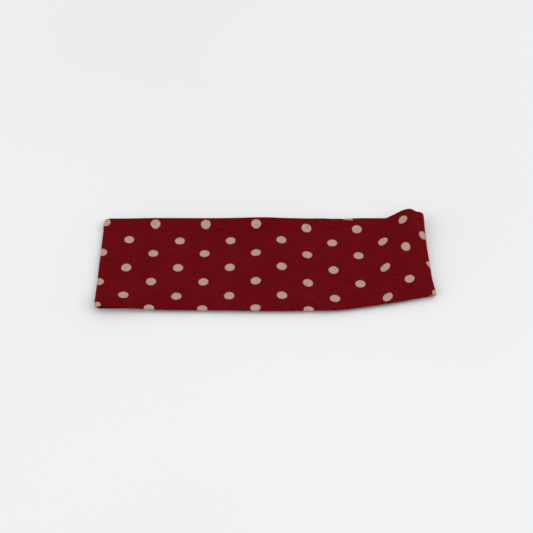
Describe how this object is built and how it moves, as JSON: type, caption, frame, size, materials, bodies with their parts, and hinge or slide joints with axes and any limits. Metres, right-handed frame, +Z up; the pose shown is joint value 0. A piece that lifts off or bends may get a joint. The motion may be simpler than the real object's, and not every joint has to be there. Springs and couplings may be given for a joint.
{
  "type": "headband",
  "caption": "Wide soft headband: a dotted double-layer jersey tube sewn into a loop, folded flat, that opens round the head.",
  "frame": {"origin": "centre of the folded band's underside, midway between its folds and its edges", "axes": "+X from the left fold to the right fold, +Y from the near folded edge to the far edge with the long seam, +Z up"},
  "size_m": [0.242, 0.0964, 0.0043],
  "materials": {
    "cloth": "fine cotton and elastane jersey, dark red with beige polka dots",
    "thread": "spun polyester sewing thread, dark red"
  },
  "bodies": {
    "back_left_end": {"back_left_end_cloth": "cloth", "back_left_end_long_seam": "thread", "left_fold_cloth": "cloth", "left_fold_long_seam": "thread"},
    "back_left": {"back_left_cloth": "cloth", "back_left_long_seam": "thread"},
    "back_middle_left": {"back_middle_left_cloth": "cloth", "back_middle_left_long_seam": "thread"},
    "back_middle_right": {"back_middle_right_cloth": "cloth", "closing_stitches": "thread"},
    "back_seam_left": {"back_seam_left_cloth": "cloth", "back_seam_left_long_seam": "thread", "cross_seam_thread": "thread", "cross_seam_allowance_left": "cloth"},
    "back_seam_right": {"back_seam_right_cloth": "cloth", "back_seam_right_long_seam": "thread", "cross_seam_allowance_right": "cloth"},
    "back_right_end": {"back_right_end_cloth": "cloth", "back_right_end_long_seam": "thread", "right_fold_cloth": "cloth", "right_fold_long_seam": "thread"},
    "front_left_end": {"front_left_end_cloth": "cloth", "front_left_end_long_seam": "thread"},
    "front_left": {"front_left_cloth": "cloth", "front_left_long_seam": "thread"},
    "front_middle_left": {"front_middle_left_cloth": "cloth", "front_middle_left_long_seam": "thread"},
    "front_middle_right": {"front_middle_right_cloth": "cloth", "front_middle_right_long_seam": "thread"},
    "front_right": {"front_right_cloth": "cloth", "front_right_long_seam": "thread"},
    "front_right_end": {"front_right_end_cloth": "cloth", "front_right_end_long_seam": "thread"}
  },
  "joints": [
    {"name": "left_fold", "type": "hinge", "parent": "back_left_end", "child": "front_left_end", "pos_m": [-0.11885, 0, 0.00215], "axis": [0, -1, 0], "range_deg": [0, 150]},
    {"name": "right_fold", "type": "hinge", "parent": "front_right_end", "child": "back_right_end", "pos_m": [0.11885, 0, 0.00215], "axis": [0, -1, 0], "range_deg": [0, 150]},
    {"name": "back_middle_bend", "type": "hinge", "parent": "back_middle_left", "child": "back_middle_right", "pos_m": [0, 0, 0.001], "axis": [0, -1, 0], "range_deg": [0, 30]},
    {"name": "back_right_bend", "type": "hinge", "parent": "back_middle_right", "child": "back_seam_left", "pos_m": [0.03962, 0, 0.001], "axis": [0, -1, 0], "range_deg": [0, 30]},
    {"name": "back_left_bend", "type": "hinge", "parent": "back_middle_left", "child": "back_left", "pos_m": [-0.03962, 0, 0.001], "axis": [0, 1, 0], "range_deg": [0, 30]},
    {"name": "back_left_end_bend", "type": "hinge", "parent": "back_left", "child": "back_left_end", "pos_m": [-0.07923, 0, 0.001], "axis": [0, 1, 0], "range_deg": [0, 30]},
    {"name": "back_right_end_bend", "type": "hinge", "parent": "back_right_end", "child": "back_seam_right", "pos_m": [0.07923, 0, 0.001], "axis": [0, 1, 0], "range_deg": [0, 30]},
    {"name": "front_left_end_bend", "type": "hinge", "parent": "front_left_end", "child": "front_left", "pos_m": [-0.07923, 0, 0.0033], "axis": [0, 1, 0], "range_deg": [0, 30]},
    {"name": "front_left_bend", "type": "hinge", "parent": "front_left", "child": "front_middle_left", "pos_m": [-0.03962, 0, 0.0033], "axis": [0, 1, 0], "range_deg": [0, 30]},
    {"name": "front_middle_bend", "type": "hinge", "parent": "front_middle_left", "child": "front_middle_right", "pos_m": [0, 0, 0.0033], "axis": [0, 1, 0], "range_deg": [0, 30]},
    {"name": "front_right_bend", "type": "hinge", "parent": "front_middle_right", "child": "front_right", "pos_m": [0.03962, 0, 0.0033], "axis": [0, 1, 0], "range_deg": [0, 30]},
    {"name": "front_right_end_bend", "type": "hinge", "parent": "front_right", "child": "front_right_end", "pos_m": [0.07923, 0, 0.0033], "axis": [0, 1, 0], "range_deg": [0, 30]}
  ],
  "couplings": [
    {"joint": "right_fold", "follows": "left_fold", "ratio": 1},
    {"joint": "back_middle_bend", "follows": "left_fold", "ratio": 0.2},
    {"joint": "back_right_bend", "follows": "left_fold", "ratio": 0.2},
    {"joint": "back_left_bend", "follows": "left_fold", "ratio": 0.2},
    {"joint": "back_left_end_bend", "follows": "left_fold", "ratio": 0.2},
    {"joint": "back_right_end_bend", "follows": "left_fold", "ratio": 0.2},
    {"joint": "front_left_end_bend", "follows": "left_fold", "ratio": 0.2},
    {"joint": "front_left_bend", "follows": "left_fold", "ratio": 0.2},
    {"joint": "front_middle_bend", "follows": "left_fold", "ratio": 0.2},
    {"joint": "front_right_bend", "follows": "left_fold", "ratio": 0.2},
    {"joint": "front_right_end_bend", "follows": "left_fold", "ratio": 0.2}
  ]
}
